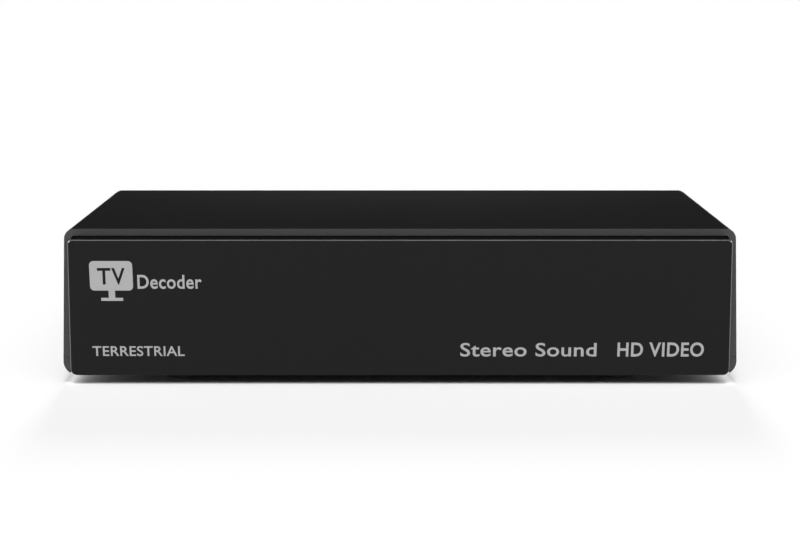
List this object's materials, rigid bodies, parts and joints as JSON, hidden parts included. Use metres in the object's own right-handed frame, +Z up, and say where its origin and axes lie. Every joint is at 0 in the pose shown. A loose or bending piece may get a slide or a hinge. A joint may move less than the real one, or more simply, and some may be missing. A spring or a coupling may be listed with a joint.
{
  "type": "terrestrial tv decoder",
  "caption": "Low black set-top box: a leaning wedge front panel, a lift-off cover on a base tray with rubber feet, a tuner board inside and a rear row of sockets.",
  "frame": {"origin": "middle of the bounding box at the underside of the feet", "axes": "+X to the right seen from the front, +Y to the back with the sockets, +Z up"},
  "size_m": [0.1682, 0.1078, 0.0392],
  "materials": {
    "case_plastic": "fine-textured moulded plastic, near black",
    "base_plastic": "fine-textured moulded plastic, near black",
    "panel_plastic": "satin moulded plastic, near black",
    "foot_rubber": "soft black rubber",
    "screw_steel": "zinc-plated steel",
    "circuit_board": "glass-fibre laminate with green solder mask",
    "chip_epoxy": "moulded epoxy",
    "pad_silicone": "soft silicone",
    "sink_aluminium": "extruded aluminium",
    "tinplate": "tin-plated sheet steel",
    "ferrite": "dark ferrite",
    "capacitor_sleeve": "shrink sleeve over an aluminium can",
    "chip_ceramic": "fired ceramic",
    "plated_shell": "nickel plating",
    "white_insulator": "moulded white plastic",
    "contact_brass": "bright brass",
    "socket_plastic": "moulded black plastic",
    "orange_insulator": "moulded orange plastic",
    "receiver_resin": "dark infrared-passing resin",
    "clear_resin": "clear resin",
    "ribbon_pvc": "grey vinyl"
  },
  "bodies": {
    "base": {"base_tray": "base_plastic", "front_panel": "panel_plastic", "rear_panel": "base_plastic", "foot_front_left": "foot_rubber", "foot_front_right": "foot_rubber", "foot_rear_left": "foot_rubber", "foot_rear_right": "foot_rubber", "case_screws": "screw_steel", "main_board": "circuit_board", "board_screws": "screw_steel", "processor": "chip_epoxy", "thermal_pad": "pad_silicone", "heatsink": "sink_aluminium", "memory_chip": "chip_epoxy", "flash_chip": "chip_epoxy", "crystal": "tinplate", "voltage_regulators": "chip_epoxy", "power_inductors": "ferrite", "electrolytic_capacitors": "capacitor_sleeve", "chip_passives": "chip_ceramic", "tuner_frame": "tinplate", "tuner_lid": "tinplate", "tuner_chip": "chip_epoxy", "antenna_in_shell": "plated_shell", "antenna_in_insulator": "white_insulator", "antenna_in_contact": "contact_brass", "antenna_out_sleeve": "plated_shell", "antenna_out_insulator": "white_insulator", "antenna_out_pin": "contact_brass", "av_socket_housing": "socket_plastic", "av_socket_insert": "socket_plastic", "av_socket_contacts": "contact_brass", "video_socket_shell": "tinplate", "video_socket_tongue": "socket_plastic", "data_socket_shell": "tinplate", "data_socket_tongue": "white_insulator", "audio_socket_body": "socket_plastic", "audio_socket_barrel": "plated_shell", "audio_socket_insulator": "orange_insulator", "power_socket_body": "socket_plastic", "power_socket_pin": "plated_shell", "front_board": "circuit_board", "front_board_screws": "screw_steel", "ir_receiver": "receiver_resin", "status_led": "clear_resin", "light_guide": "clear_resin", "front_header": "white_insulator", "board_header": "white_insulator", "ribbon_cable": "ribbon_pvc"},
    "cover": {"top_cover": "case_plastic"}
  },
  "joints": [
    {"name": "cover_lift", "type": "slide", "parent": "base", "child": "cover", "axis": [0, 0, 1], "range_m": [0, 0.06]}
  ]
}
